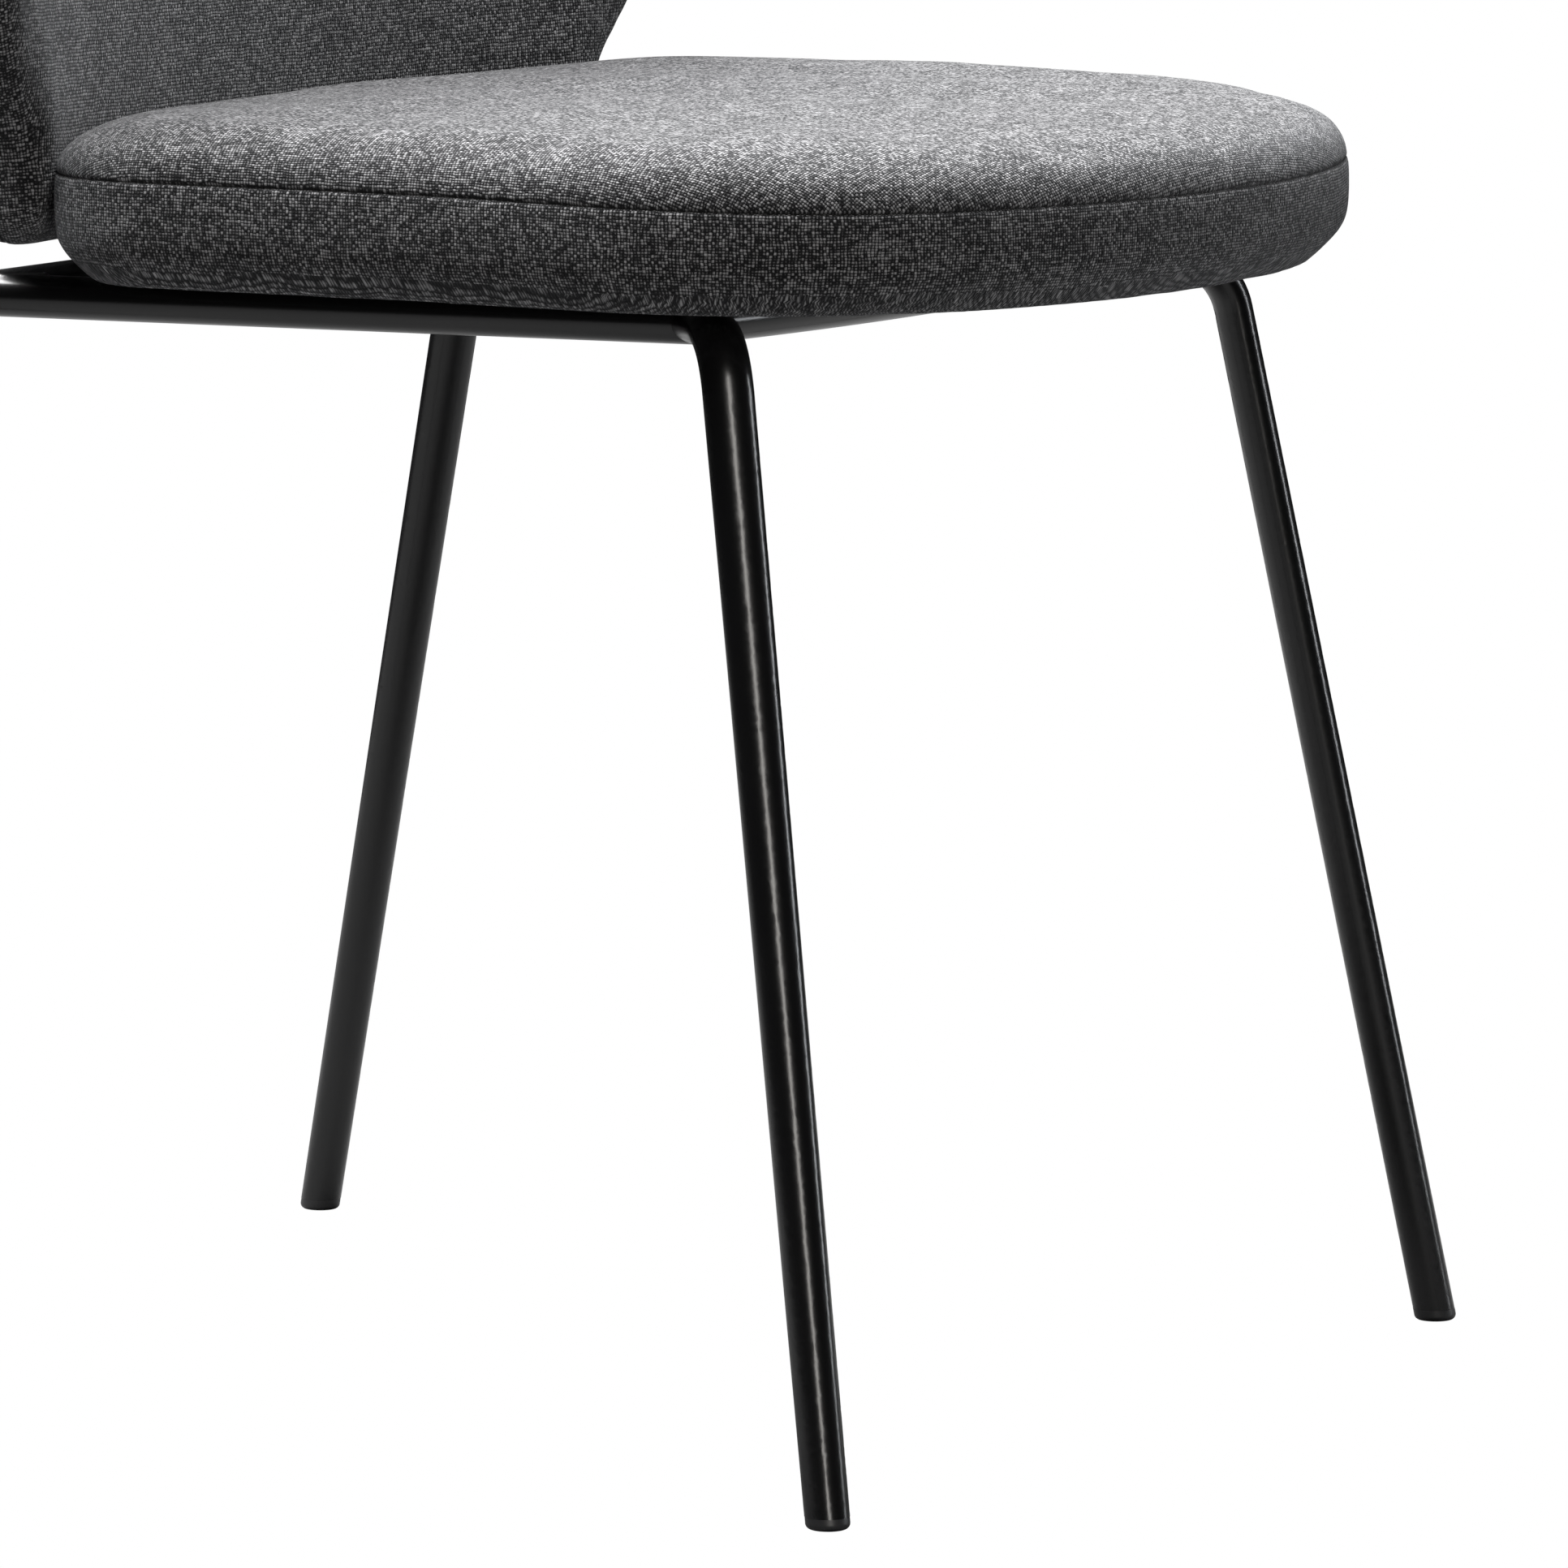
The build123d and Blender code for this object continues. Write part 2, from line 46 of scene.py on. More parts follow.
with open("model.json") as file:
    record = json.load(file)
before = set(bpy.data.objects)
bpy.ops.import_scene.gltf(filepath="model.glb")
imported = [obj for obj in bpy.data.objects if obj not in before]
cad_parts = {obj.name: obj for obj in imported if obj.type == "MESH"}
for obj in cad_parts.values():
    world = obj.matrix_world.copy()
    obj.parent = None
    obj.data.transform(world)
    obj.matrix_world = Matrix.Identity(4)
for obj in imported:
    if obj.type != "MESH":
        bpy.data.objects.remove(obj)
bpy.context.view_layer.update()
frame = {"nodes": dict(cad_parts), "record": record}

seat_low, seat_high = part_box("seat_side_band")
top_low, top_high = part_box("seat_top_cover")
back_low, back_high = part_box("back_edge_band")
face_low, face_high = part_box("back_front_cover")

# Sewing and padding, in metres
SEAM_PRESS = 0.0009  # depth of the sewn groove
SEAM_WIDTH = 0.0007
SEAM_REACH = 0.014  # how far into the padding the groove is felt
AIR_PRESSURE = 3.0  # of the padding in the simulation
CLOTH_FRAMES = 20
ROUND_STEPS = 7  # rings round a rolled edge
TOP_RISE = 0.001  # of the rings towards the middle of the seat
SHOULDER = 0.018  # how far in the seat's rolled edge reaches
RIM_REACH = 0.014  # how far in the lifted lower rim reaches
FLAT_UNDER = 0.018  # from here in, the seat's underside is flat on its board
BACK_GROWTH = 0.001  # growth of the back's outline that the remesh takes back
BACK_CORNERS = (0.018, 0.03, 0.19, 0.115)  # rounds of the back's outline, from the bottom
FLARE_GROWTH = 0.010  # widest part of the back beyond its front cover
SPACING = 0.006  # along the back's outline
COVER = 0.0015

MM = 0.001


# ---------------------------------------------------------------- settings
class ChairSeatSettings(bpy.types.PropertyGroup):
    """Sizes of the padded seat."""

    front_radius: bpy.props.FloatProperty(
        name="Front Radius", description="Plan radius of the front edge",
        default=0.35, unit="LENGTH")
    front_corner: bpy.props.FloatProperty(
        name="Front Corner", description="Plan radius of the front corners",
        default=0.14, unit="LENGTH")
    rear_corner: bpy.props.FloatProperty(
        name="Rear Corner", description="Plan radius of the rear corners",
        default=0.06, unit="LENGTH")
    back_gap: bpy.props.FloatProperty(
        name="Back Gap", description="Seat to the front face of the back",
        default=0.0015, unit="LENGTH")
    fullness: bpy.props.FloatProperty(
        name="Fullness", description="Growth of the outline that the remesh takes back",
        default=0.0060, unit="LENGTH")
    top_round: bpy.props.FloatProperty(
        name="Top Round", description="Height of the rolled upper edge above the seam",
        default=0.018, unit="LENGTH")
    bottom_round: bpy.props.FloatProperty(
        name="Bottom Round", description="Radius of the lower edge",
        default=0.018, unit="LENGTH")
    crown: bpy.props.FloatProperty(
        name="Crown", description="Rise of the middle of the seat over its rolled edge",
        default=0.001, unit="LENGTH")
    front_dip: bpy.props.FloatProperty(
        name="Front Dip", description="Fall of the front edge below the middle",
        default=0.0045, unit="LENGTH")
    rear_dip: bpy.props.FloatProperty(
        name="Rear Dip", description="Fall of the seat's top towards the back",
        default=0.0025, unit="LENGTH")
    rim_lift: bpy.props.FloatProperty(
        name="Rim Lift", description="Rise of the lower rim over the seat's underside",
        default=0.0040, unit="LENGTH")
    swell: bpy.props.FloatProperty(
        name="Swell", description="Most that the padding may swell in the simulation",
        default=0.003, unit="LENGTH")
    voxel: bpy.props.FloatProperty(
        name="Remesh Size", description="Voxel size of the simulated skin",
        default=0.0055, unit="LENGTH")


class ChairBackSettings(bpy.types.PropertyGroup):
    """Sizes of the padded back."""

    recline: bpy.props.FloatProperty(
        name="Recline", description="Lean of the back from upright",
        default=math.radians(6), subtype="ANGLE")
    mid_radius: bpy.props.FloatProperty(
        name="Middle Radius", description="Plan radius of the middle of the back",
        default=0.8, unit="LENGTH")
    mid_half: bpy.props.FloatProperty(
        name="Middle Half Width", description="Half width of the middle curve",
        default=0.13, unit="LENGTH")
    wing_radius: bpy.props.FloatProperty(
        name="Wing Radius", description="Plan radius of the wings",
        default=0.3, unit="LENGTH")
    low_half: bpy.props.FloatProperty(
        name="Low Half Width", description="Half width below the flare",
        default=0.21, unit="LENGTH")
    top_half: bpy.props.FloatProperty(
        name="Top Half Width", description="Half width at the top",
        default=0.245, unit="LENGTH")
    flare_start: bpy.props.FloatProperty(
        name="Flare Start", description="Height at which the sides begin to flare",
        default=0.039, unit="LENGTH")
    flare_end: bpy.props.FloatProperty(
        name="Flare End", description="Height at which the back is widest",
        default=0.117, unit="LENGTH")
    thickness: bpy.props.FloatProperty(
        name="Thickness", description="Front face to rear face",
        default=0.034, unit="LENGTH")
    edge_round: bpy.props.FloatProperty(
        name="Edge Round", description="Radius of the padded edge",
        default=0.009, unit="LENGTH")
    rear_round: bpy.props.FloatProperty(
        name="Rear Round", description="Radius of the padded edge at the rear",
        default=0.015, unit="LENGTH")
    seam_depth: bpy.props.FloatProperty(
        name="Seam Depth", description="Seam behind the front face",
        default=0.022, unit="LENGTH")
    swell: bpy.props.FloatProperty(
        name="Swell", description="Most that the padding may swell in the simulation",
        default=0.004, unit="LENGTH")
    voxel: bpy.props.FloatProperty(
        name="Remesh Size", description="Voxel size of the simulated skin",
        default=0.0055, unit="LENGTH")


class ChairClothSettings(bpy.types.PropertyGroup):
    """Colours and sizes of the woven cloth."""

    thread_pitch: bpy.props.FloatProperty(
        name="Thread Pitch", description="Distance between threads",
        default=0.00125, unit="LENGTH", precision=5)
    dark_yarn: bpy.props.FloatVectorProperty(
        name="Dark Yarn", description="Colour of the dark yarn", size=3, min=0, max=1,
        default=(0.0045, 0.0045, 0.005), subtype="COLOR")
    light_yarn: bpy.props.FloatVectorProperty(
        name="Light Yarn", description="Colour of the light yarn", size=3, min=0, max=1,
        default=(0.27, 0.268, 0.274), subtype="COLOR")
    sheen: bpy.props.FloatProperty(
        name="Fuzz", description="Strength of the soft sheen from fibre ends",
        default=0.10, min=0, max=1, subtype="FACTOR")


class ChairFrameSettings(bpy.types.PropertyGroup):
    """Finish of the tube frame."""

    paint: bpy.props.FloatVectorProperty(
        name="Paint", description="Colour of the tube frame", size=3, min=0, max=1,
        default=(0.0025, 0.0025, 0.0028), subtype="COLOR")
    gloss: bpy.props.FloatProperty(
        name="Paint Roughness", description="Roughness of the paint",
        default=0.24, min=0, max=1, subtype="FACTOR")


class ChairStageSettings(bpy.types.PropertyGroup):
    """Camera, floor and lights."""

    camera_place: bpy.props.FloatVectorProperty(
        name="Camera", description="Place of the camera", size=3,
        default=(-3.826075, -2.216436, 0.792269), subtype="TRANSLATION")
    azimuth: bpy.props.FloatProperty(
        name="Azimuth", description="Direction of view in plan, from +Y",
        default=math.radians(-60.9385), subtype="ANGLE")
    pitch: bpy.props.FloatProperty(
        name="Pitch", description="Downward tilt of the view",
        default=math.radians(7.3437), subtype="ANGLE")
    lens: bpy.props.FloatProperty(
        name="Lens", description="Focal length on a 36 mm sensor",
        default=269.943, min=1)
    floor_radius: bpy.props.FloatProperty(
        name="Floor Radius", description="Radius of the white floor",
        default=2.2, unit="LENGTH")
    top_light: bpy.props.FloatProperty(
        name="Top Light", description="Power of the overhead soft light", default=820.0, min=0)
    side_light: bpy.props.FloatProperty(
        name="Side Light", description="Power of the side soft light", default=52.0, min=0)
    world: bpy.props.FloatProperty(
        name="Room Light", description="Strength of the soft light from all round",
        default=0.04, min=0)
    mirror_room: bpy.props.FloatProperty(
        name="Room In Gloss", description="Brightness of the room where it shows in gloss",
        default=0.02, min=0)


SETTINGS = {
    "chair_seat": ChairSeatSettings,
    "chair_back": ChairBackSettings,
    "chair_cloth": ChairClothSettings,
    "chair_frame": ChairFrameSettings,
    "chair_stage": ChairStageSettings,
}


def settings(name):
    """The scene's settings of one kind."""
    return getattr(bpy.context.scene, name)


# ---------------------------------------------------------------- node helpers
def link(tree, source, target):
    tree.links.new(source, target)


def math_node(tree, operation, *values, clamp=False):
    """Add a Math node fed by numbers or sockets and return its output."""
    node = tree.nodes.new("ShaderNodeMath")
    node.operation = operation
    node.use_clamp = clamp
    for socket, value in zip(node.inputs, values):
        if isinstance(value, (int, float)):
            socket.default_value = value
        else:
            tree.links.new(value, socket)
    return node.outputs[0]


def mix_colour(tree, factor, first, second, blend="MIX"):
    """Mix two colours given as values or sockets."""
    node = tree.nodes.new("ShaderNodeMix")
    node.data_type = "RGBA"
    node.blend_type = blend
    sockets = (node.inputs["Factor"], node.inputs[6], node.inputs[7])
    for socket, value in zip(sockets, (factor, first, second)):
        if isinstance(value, (int, float)):
            socket.default_value = value
        elif isinstance(value, (tuple, list)):
            socket.default_value = (*value[:3], 1.0)
        else:
            tree.links.new(value, socket)
    return node.outputs[2]


def noise_node(tree, vector, scale, detail=2.0, roughness=0.5, dimensions="3D"):
    """Add a Noise Texture and return its value output."""
    node = tree.nodes.new("ShaderNodeTexNoise")
    node.noise_dimensions = dimensions
    node.inputs["Scale"].default_value = scale
    node.inputs["Detail"].default_value = detail
    node.inputs["Roughness"].default_value = roughness
    tree.links.new(vector, node.inputs["Vector"])
    return node.outputs["Fac"]


def scaled_vector(tree, vector, scale):
    node = tree.nodes.new("ShaderNodeVectorMath")
    node.operation = "MULTIPLY"
    tree.links.new(vector, node.inputs[0])
    node.inputs[1].default_value = scale
    return node.outputs[0]


def new_group(name, inputs, outputs):
    """Start a shader node group with float, vector and colour sockets."""
    group = bpy.data.node_groups.new(name, "ShaderNodeTree")
    kinds = {"f": "NodeSocketFloat", "v": "NodeSocketVector", "c": "NodeSocketColor"}
    for label, kind, default in inputs:
        socket = group.interface.new_socket(label, in_out="INPUT", socket_type=kinds[kind])
        if default is not None:
            socket.default_value = default
    for label, kind in outputs:
        group.interface.new_socket(label, in_out="OUTPUT", socket_type=kinds[kind])
    return group, group.nodes.new("NodeGroupInput"), group.nodes.new("NodeGroupOutput")


# ---------------------------------------------------------------- cloth
def weave_group():
    """Coarse warp-faced plain weave: two yarns, uneven threads, rows and soft mottling, with
    painted shade between the threads and in the sewn groove.
    """
    group, given, out = new_group(
        "Coarse Weave",
        [("Vector", "v", None), ("Pitch", "f", 0.00125), ("Dark", "c", (0.02, 0.02, 0.02, 1)),
         ("Light", "c", (0.3, 0.3, 0.3, 1)), ("Seam", "f", 0.0)],
        [("Color", "c"), ("Height", "f"), ("Roughness", "f")],
    )
    place = given.outputs["Vector"]
    # threads wander a little from their straight line
    wander = group.nodes.new("ShaderNodeTexNoise")
    wander.inputs["Scale"].default_value = 95.0
    wander.inputs["Detail"].default_value = 2.0
    link(group, place, wander.inputs["Vector"])
    centred = group.nodes.new("ShaderNodeVectorMath")
    centred.operation = "SUBTRACT"
    link(group, wander.outputs["Color"], centred.inputs[0])
    centred.inputs[1].default_value = (0.5, 0.5, 0.5)
    shift = scaled_vector(group, centred.outputs[0], (0.0022, 0.0016, 0.0))
    moved = group.nodes.new("ShaderNodeVectorMath")
    moved.operation = "ADD"
    link(group, place, moved.inputs[0])
    link(group, shift, moved.inputs[1])
    split = group.nodes.new("ShaderNodeSeparateXYZ")
    link(group, moved.outputs[0], split.inputs[0])
    across = math_node(group, "DIVIDE", split.outputs[0], given.outputs["Pitch"])
    along = math_node(group, "DIVIDE", split.outputs[1], given.outputs["Pitch"])
    across_cell = math_node(group, "FLOOR", across)
    along_cell = math_node(group, "FLOOR", along)

    def thread(cross, run, cell, sign, lift):
        """Height of one set of threads: round across, over and under along."""
        round_ = math_node(group, "ABSOLUTE", math_node(
            group, "SINE", math_node(group, "MULTIPLY", cross, math.pi)))
        phase = math_node(group, "MULTIPLY", math_node(group, "ADD", run, cell), math.pi)
        swing = math_node(group, "MULTIPLY_ADD", math_node(group, "SINE", phase), sign * 0.42, lift)
        return math_node(group, "MULTIPLY", math_node(group, "POWER", round_, 0.6), swing)

    warp = thread(across, along, across_cell, 1.0, 0.58)
    weft = thread(along, across, along_cell, -1.0, 0.46)
    height = math_node(group, "MAXIMUM", warp, weft)
    warp_top = math_node(group, "GREATER_THAN", warp, weft)

    # every crossing has its own brightness, so the cloth looks slubbed
    cell_vector = group.nodes.new("ShaderNodeCombineXYZ")
    link(group, across_cell, cell_vector.inputs[0])
    link(group, along_cell, cell_vector.inputs[1])
    link(group, warp_top, cell_vector.inputs[2])
    cell_noise = group.nodes.new("ShaderNodeTexWhiteNoise")
    cell_noise.noise_dimensions = "3D"
    link(group, cell_vector.outputs[0], cell_noise.inputs["Vector"])
    fibre = noise_node(group, scaled_vector(group, place, (2600.0, 900.0, 1.0)), 1.0, 3.0, 0.6)
    slub = noise_node(group, scaled_vector(group, place, (900.0, 260.0, 1.0)), 1.0, 2.0, 0.55)
    mottle = noise_node(group, place, 55.0, 3.0, 0.6)
    rows = math_node(group, "SINE", math_node(group, "MULTIPLY", along, math.pi))
    tone = math_node(group, "MULTIPLY_ADD", cell_noise.outputs["Value"], 0.75, -0.42)
    tone = math_node(group, "ADD", tone, math_node(group, "MULTIPLY_ADD", fibre, 0.9, -0.45))
    tone = math_node(group, "ADD", tone, math_node(group, "MULTIPLY_ADD", slub, 1.2, -0.6))
    tone = math_node(group, "ADD", tone, math_node(group, "MULTIPLY_ADD", mottle, 0.5, -0.25))
    tone = math_node(group, "ADD", tone, math_node(group, "MULTIPLY", rows, 0.03))
    # painted light and shade: thread crowns are lighter and the gaps between threads darker in the
    # colour, on top of the bump
    painted_thread_shade = math_node(group, "MULTIPLY_ADD", height, 1.35, -0.72)
    tone = math_node(group, "ADD", tone, painted_thread_shade, clamp=True)
    colour = mix_colour(group, tone, given.outputs["Dark"], given.outputs["Light"])
    # painted shade: the middle of the sewn groove is darkened towards near-black in the cloth's
    # colour
    seam_painted_shade = math_node(group, "MULTIPLY", given.outputs["Seam"], 0.88, clamp=True)
    colour = mix_colour(group, seam_painted_shade, colour, (0.004, 0.004, 0.004))
    link(group, colour, out.inputs["Color"])
    relief = math_node(group, "ADD", height, math_node(group, "MULTIPLY", fibre, 0.35))
    link(group, relief, out.inputs["Height"])
    link(group, math_node(group, "MULTIPLY_ADD", tone, -0.12, 0.95), out.inputs["Roughness"])
    return group


def cloth_material(name):
    """Charcoal two-yarn cloth laid by the piece's own weave map."""
    cloth = settings("chair_cloth")
    material = bpy.data.materials.new(name)
    material.use_nodes = True
    tree = material.node_tree
    shader = tree.nodes["Principled BSDF"]
    place = tree.nodes.new("ShaderNodeUVMap")
    place.uv_map = "weave"
    # the seam layer marks the sewn groove, where the weave paints shade into the colour
    seam = tree.nodes.new("ShaderNodeAttribute")
    seam.attribute_name = "seam"
    weave = tree.nodes.new("ShaderNodeGroup")
    weave.node_tree = bpy.data.node_groups.get("Coarse Weave") or weave_group()
    weave.inputs["Pitch"].default_value = cloth.thread_pitch
    weave.inputs["Dark"].default_value = (*cloth.dark_yarn, 1)
    weave.inputs["Light"].default_value = (*cloth.light_yarn, 1)
    link(tree, place.outputs["UV"], weave.inputs["Vector"])
    link(tree, seam.outputs["Fac"], weave.inputs["Seam"])
    bump = tree.nodes.new("ShaderNodeBump")
    bump.inputs["Strength"].default_value = 0.7
    bump.inputs["Distance"].default_value = 0.0006
    link(tree, weave.outputs["Height"], bump.inputs["Height"])
    link(tree, weave.outputs["Color"], shader.inputs["Base Color"])
    link(tree, weave.outputs["Roughness"], shader.inputs["Roughness"])
    link(tree, bump.outputs["Normal"], shader.inputs["Normal"])
    shader.inputs["Specular IOR Level"].default_value = 0.15
    shader.inputs["Sheen Weight"].default_value = cloth.sheen
    shader.inputs["Sheen Roughness"].default_value = 0.45
    shader.inputs["Sheen Tint"].default_value = (0.92, 0.95, 1.0, 1)
    return material


# ---------------------------------------------------------------- mesh helpers
def arc_walk(centre, radius, start, end, steps):
    """Points along an arc with their outward normals, angles in radians."""
    walk = []
    for step in range(steps):
        angle = start + (end - start) * step / steps
        normal = Vector((math.cos(angle), math.sin(angle)))
        walk.append((Vector(centre) + normal * radius, normal))
    return walk


def line_walk(first, last, normal, steps):
    """Points along a straight edge with its outward normal."""
    first, last = Vector(first), Vector(last)
    return [(first.lerp(last, step / steps), Vector(normal)) for step in range(steps)]


def loop_ring(bm, points):
    """A closed loop of edges through the points."""
    verts = [bm.verts.new(point) for point in points]
    return [bm.edges.new((verts[i - 1], verts[i])) for i in range(len(verts))]


def skin_rings(rings):
    """Closed skin over a stack of rings, capped by a face at each end."""
    bm = bmesh.new()
    loops = [loop_ring(bm, ring) for ring in rings]
    for lower, upper in zip(loops, loops[1:]):
        bmesh.ops.bridge_loops(bm, edges=lower + upper)
    for loop in (loops[0], loops[-1]):
        bmesh.ops.contextual_create(bm, geom=loop)
    bmesh.ops.recalc_face_normals(bm, faces=bm.faces)
    return bm


def new_piece(name, bm, material=None, smooth=True):
    """Turn a bmesh into an object at the origin."""
    mesh = bpy.data.meshes.new(name)
    bm.to_mesh(mesh)
    bm.free()
    piece = bpy.data.objects.new(name, mesh)
    bpy.context.scene.collection.objects.link(piece)
    if material:
        mesh.materials.append(material)
    if smooth:
        mesh.shade_smooth()
    return piece


def apply_modifiers(piece):
    """Keep the evaluated shape as the piece's own mesh."""
    depsgraph = bpy.context.evaluated_depsgraph_get()
    mesh = bpy.data.meshes.new_from_object(piece.evaluated_get(depsgraph))
    old = piece.data
    piece.modifiers.clear()
    piece.data = mesh
    mesh.name = old.name
    bpy.data.meshes.remove(old)


def inflate(piece, voxel, cap):
    """Remesh the skin and let air pressure round it, moving no point more than cap."""
    remesh = piece.modifiers.new("Skin", "REMESH")
    remesh.mode = "VOXEL"
    remesh.voxel_size = voxel
    apply_modifiers(piece)
    rest = [vert.co.copy() for vert in piece.data.vertices]
    cloth = piece.modifiers.new("Cloth", "CLOTH")
    cloth.settings.use_pressure = True
    cloth.settings.uniform_pressure_force = AIR_PRESSURE
    cloth.settings.effector_weights.gravity = 0
    cloth.settings.quality = 4
    cloth.point_cache.frame_start = 1
    cloth.point_cache.frame_end = CLOTH_FRAMES
    for step in range(1, CLOTH_FRAMES + 1):
        bpy.context.scene.frame_set(step)
    apply_modifiers(piece)
    bpy.context.scene.frame_set(1)
    for vert, start in zip(piece.data.vertices, rest):
        move = vert.co - start
        if move.length > cap:
            vert.co = start + move.normalized() * cap


def relax_and_split(piece, rounds):
    """Even out the skin, then divide it once."""
    bm = bmesh.new()
    bm.from_mesh(piece.data)
    for _ in range(rounds):
        bmesh.ops.smooth_vert(bm, verts=bm.verts, factor=0.5,
                              use_axis_x=True, use_axis_y=True, use_axis_z=True)
    bm.to_mesh(piece.data)
    bm.free()
    smooth = piece.modifiers.new("Smooth", "SUBSURF")
    smooth.levels = 1
    smooth.render_levels = 1
    apply_modifiers(piece)


# ---------------------------------------------------------------- seat
class SeatPlan:
    """Plan of the seat as a walk of points and outward normals, and its heights."""

    def __init__(self):
        seat = settings("chair_seat")
        self.half = seat_high[0]
        self.front = seat_low[1]
        self.rear = seat_high[1]
        self.seam = seat_high[2]
        self.bottom = seat_low[2]
        self.walk = self.make_walk(seat)

    def corner(self, centre, arc_radius, corner_radius, sign):
        """Centre of a corner arc that touches a side and an end arc, and its turn angle."""
        across = self.half - corner_radius - centre[0]
        rise = math.sqrt((arc_radius - corner_radius) ** 2 - across**2)
        place = Vector((self.half - corner_radius, centre[1] + sign * rise))
        return place, math.atan2(rise, across)

    def make_walk(self, seat):
        """Right side, rear corner, wing, middle, then the same mirrored, then the front."""
        back = settings("chair_back")
        mid_turn = math.asin(back.mid_half / back.mid_radius)
        mid_centre = self.rear + seat.back_gap - back.mid_radius
        reach = back.mid_radius - back.wing_radius
        wing = (reach * math.sin(mid_turn), mid_centre + reach * math.cos(mid_turn))
        wing_r = back.wing_radius - seat.back_gap
        mid_r = back.mid_radius - seat.back_gap
        front_centre = (0, self.front + seat.front_radius)
        front, front_turn = self.corner(front_centre, seat.front_radius, seat.front_corner, -1)
        rear, rear_turn = self.corner(wing, wing_r, seat.rear_corner, 1)
        join = math.pi / 2 - mid_turn
        walk = []
        walk += line_walk((self.half, front.y), (self.half, rear.y), (1, 0), 40)
        walk += arc_walk(rear, seat.rear_corner, 0, rear_turn, 20)
        walk += arc_walk(wing, wing_r, rear_turn, join, 12)
        walk += arc_walk((0, mid_centre), mid_r, join, math.pi - join, 50)
        walk += arc_walk((-wing[0], wing[1]), wing_r, math.pi - join, math.pi - rear_turn, 12)
        walk += arc_walk((-rear.x, rear.y), seat.rear_corner, math.pi - rear_turn, math.pi, 20)
        walk += line_walk((-self.half, rear.y), (-self.half, front.y), (-1, 0), 40)
        walk += arc_walk((-front.x, front.y), seat.front_corner, math.pi, math.pi + front_turn, 30)
        walk += arc_walk(front_centre, seat.front_radius,
                         math.pi + front_turn, 2 * math.pi - front_turn, 60)
        walk += arc_walk(front, seat.front_corner, 2 * math.pi - front_turn, 2 * math.pi, 30)
        return walk

    def ring(self, inset, height):
        """One loop of the seat's skin."""
        return [(*(point - normal * inset), height) for point, normal in self.walk]


def build_seat():
    """Padded seat: crowned top, rolled edge over the seam, upright band and soft lower edge."""
    seat = settings("chair_seat")
    plan = SeatPlan()
    out = -seat.fullness
    low, roll = seat.bottom_round, seat.top_round
    rings = []
    for step in range(ROUND_STEPS + 1):
        angle = math.pi / 2 * step / ROUND_STEPS
        rings.append(plan.ring(out + low * (1 - math.sin(angle)),
                               plan.bottom + low * 0.9 * (1 - math.cos(angle))))
    for height in (0.022, 0.027, 0.032, 0.037):
        rings.append(plan.ring(out, plan.bottom + height))
    for step in range(1, ROUND_STEPS + 1):
        angle = math.pi / 2 * step / ROUND_STEPS
        rings.append(plan.ring(out + SHOULDER * (1 - math.cos(angle)),
                               plan.seam + roll * math.sin(angle)))
    for step in range(1, 9):
        share = step / 8
        rings.append(plan.ring(out + SHOULDER + share * 0.036,
                               plan.seam + roll + TOP_RISE * share))
    bm = skin_rings(rings)
    piece = new_piece("seat_cushion", bm)
    inflate(piece, seat.voxel, seat.swell)
    return piece, plan


def nearest_walk(plan):
    """A function from a place to (length along the outline, distance inside it)."""
    tree = kdtree.KDTree(len(plan.walk))
    lengths = [0.0]
    for index, (point, normal) in enumerate(plan.walk):
        tree.insert((*point, 0), index)
        if index:
            lengths.append(lengths[-1] + (point - plan.walk[index - 1][0]).length)
    tree.balance()

    def find(x, y):
        _, index, _ = tree.find((x, y, 0))
        point, normal = plan.walk[index]
        offset = Vector((x, y)) - point
        tangent = Vector((-normal.y, normal.x))
        return lengths[index] + offset.dot(tangent), -offset.dot(normal), normal

    return find


def smooth_step(value):
    value = min(max(value, 0.0), 1.0)
    return value * value * (3 - 2 * value)


def cut_seam(piece, axis, level, inward):
    """Cut edge loops across the piece at a level and press the middle one in as a sewn groove.

    inward(co) gives the unit vector that points into the padding and how far in co lies.
    """
    bm = bmesh.new()
    bm.from_mesh(piece.data)
    for shift in (-2.2, -1.0, 0.0, 1.0, 2.2):
        place = Vector((0, 0, 0))
        place[axis] = level + shift * SEAM_WIDTH
        normal = Vector((0, 0, 0))
        normal[axis] = 1
        geom = list(bm.verts) + list(bm.edges) + list(bm.faces)
        bmesh.ops.bisect_plane(bm, geom=geom, dist=SEAM_WIDTH * 0.05,
                               plane_co=place, plane_no=normal)
    layer = bm.verts.layers.float.get("seam") or bm.verts.layers.float.new("seam")
    for vert in bm.verts:
        off = (vert.co[axis] - level) / SEAM_WIDTH
        if abs(off) > 6:
            continue
        way, inside = inward(vert.co)
        if inside > SEAM_REACH:
            continue
        pucker = noise.noise(vert.co * 95.0) * 0.35 * math.exp(-(off / 4.0) ** 2)
        press = math.exp(-(off / 0.75) ** 2) + 0.22 * math.exp(-(off / 2.6) ** 2)
        vert.co += way * (SEAM_PRESS * (press + 0.3 * pucker))
        # the seam layer marks the groove's middle, where the cloth's colour is darkened as painted
        # shade
        vert[layer] = max(vert[layer], math.exp(-(off / 0.55) ** 2))
    bm.to_mesh(piece.data)
    bm.free()


def outline_length(plan):
    """Whole length of the outline."""
    return sum((a[0] - b[0]).length for a, b in zip(plan.walk, plan.walk[1:]))


def length_near(find, total, here, home):
    """Length along the outline at here, carried past the start to stay close to home's."""
    length, start = find(*here)[0], find(*home)[0]
    if length - start > total / 2:
        length -= total
    if start - length > total / 2:
        length += total
    return length


def soft_pull(place, size, scale):
    """Small smooth unevenness of the padding at a place."""
    return noise.noise(Vector(place) * scale) * size


